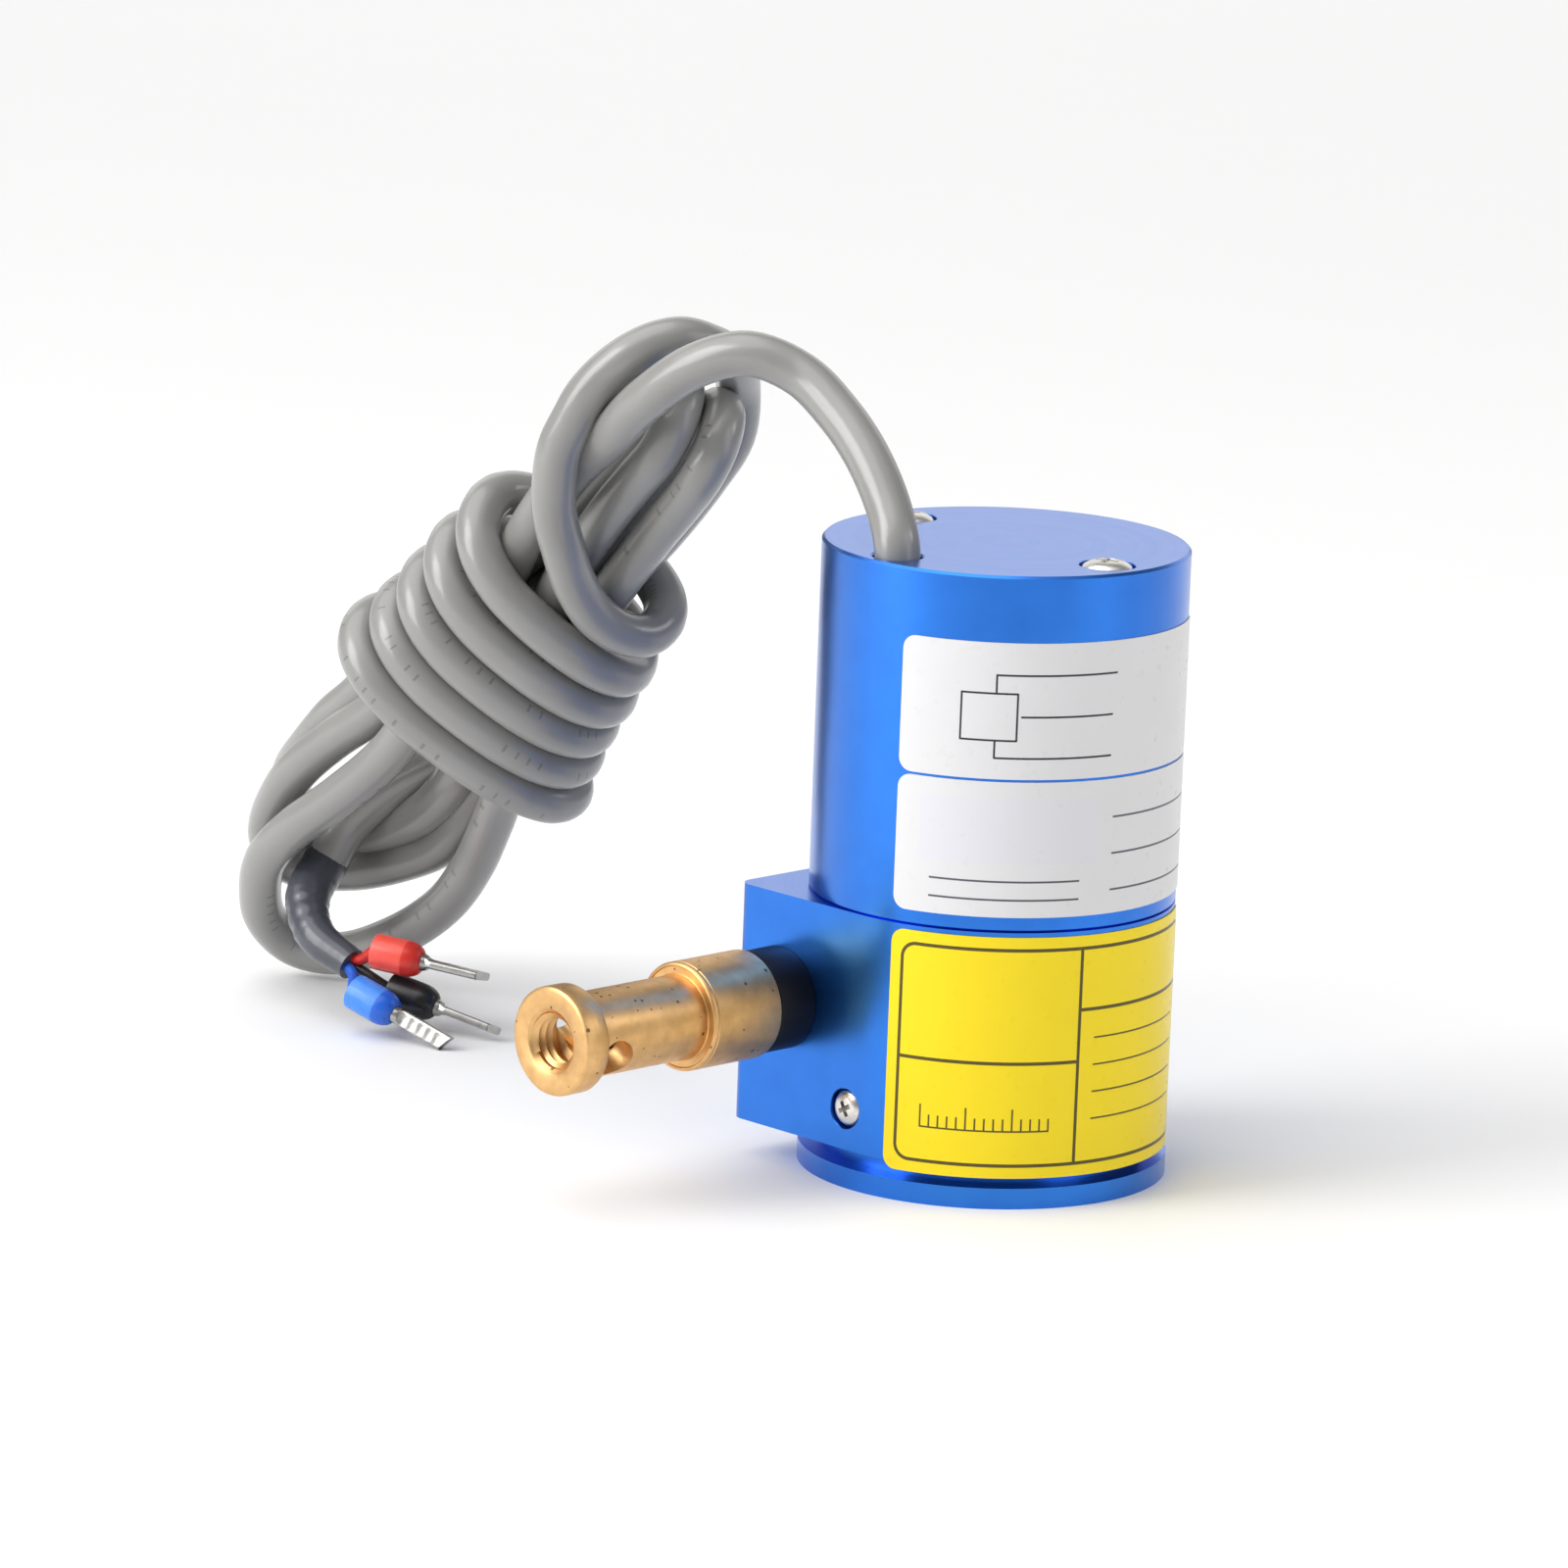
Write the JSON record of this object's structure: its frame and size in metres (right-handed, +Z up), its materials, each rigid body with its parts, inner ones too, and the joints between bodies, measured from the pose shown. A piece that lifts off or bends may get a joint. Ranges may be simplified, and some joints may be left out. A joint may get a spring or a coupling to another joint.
{
  "type": "draw wire encoder",
  "caption": "Draw wire position sensor: round aluminium housing with a side wire outlet, brass end fitting on a spring-retracted wire, and a bundled cable with ferrules.",
  "frame": {"origin": "centre of the round mounting face under the base flange, on the drum axis", "axes": "+Z up along the drum axis, away from the mounting face; the draw wire leaves along -Y"},
  "size_m": [0.1331, 0.074, 0.0931],
  "materials": {
    "blue_anodised": "satin blue anodised",
    "black_plastic": "satin black",
    "ceramic": "glazed ceramic",
    "brass": "turned, lightly stained",
    "nickel_steel": "nickel plated",
    "steel": "ground",
    "dark_steel": "blackened",
    "spring_steel": "blued",
    "aluminium": "turned",
    "white_plastic": "matt",
    "pot_plastic": "moulded",
    "tinned": "gilt contacts",
    "white_label": "gloss film",
    "yellow_label": "gloss film",
    "grey_pvc": "satin PVC",
    "heat_shrink": "satin",
    "red_plastic": "moulded",
    "black_nylon": "moulded",
    "blue_plastic": "moulded",
    "conductor": "PVC insulation"
  },
  "bodies": {
    "housing": {"spring_base": "blue_anodised", "drum_housing": "blue_anodised", "sensor_housing": "blue_anodised", "housing_screws": "nickel_steel", "cap_screws": "nickel_steel", "wire_nozzle": "black_plastic", "wire_guide": "ceramic", "lower_bearing_outer": "steel", "upper_bearing_outer": "steel", "bearing_balls": "nickel_steel", "power_spring": "spring_steel", "spring_cover": "white_plastic", "potentiometer": "pot_plastic", "potentiometer_nut": "nickel_steel", "potentiometer_terminals": "tinned", "sensor_plate": "aluminium", "lower_pillars": "brass", "upper_pillars": "brass", "cable_end": "grey_pvc", "cable_tie": "white_plastic", "inner_conductors": "conductor", "top_label": "white_label", "middle_label": "white_label", "lower_label": "yellow_label", "cord_lead": "grey_pvc", "cord_hank": "grey_pvc", "cord_tail": "grey_pvc", "heat_shrink": "heat_shrink", "tail_conductors": "conductor", "red_ferrule": "red_plastic", "black_ferrule": "black_nylon", "blue_ferrule": "blue_plastic", "ferrule_pins": "nickel_steel"},
    "wire_end": {"draw_wire": "steel", "wire_crimp": "nickel_steel"},
    "end_piece": {"end_fitting": "brass"},
    "rotor": {"wire_drum": "aluminium", "drum_set_screw": "dark_steel", "drum_shaft": "steel", "shaft_clip": "dark_steel", "lower_bearing_inner": "steel", "upper_bearing_inner": "steel", "spring_arbor": "brass", "wound_wire": "steel", "shaft_coupling": "aluminium", "coupling_screws": "dark_steel", "potentiometer_shaft": "steel"}
  },
  "joints": [
    {"name": "wire_draw", "type": "slide", "parent": "housing", "child": "wire_end", "axis": [0, -1, 0], "range_m": [0, 0.75], "stiffness_N_per_m": 2, "springref_m": -1, "deforming": ["draw_wire"]},
    {"name": "fitting_swivel", "type": "hinge", "parent": "wire_end", "child": "end_piece", "pos_m": [-0.01205, -0.035, 0.019], "axis": [0, -1, 0], "continuous": true},
    {"name": "drum_spin", "type": "hinge", "parent": "housing", "child": "rotor", "pos_m": [0, 0, 0.019], "axis": [0, 0, 1], "range_deg": [0, 3600]}
  ],
  "couplings": [
    {"joint": "drum_spin", "follows": "wire_draw", "rad_per_m": 82.988}
  ]
}
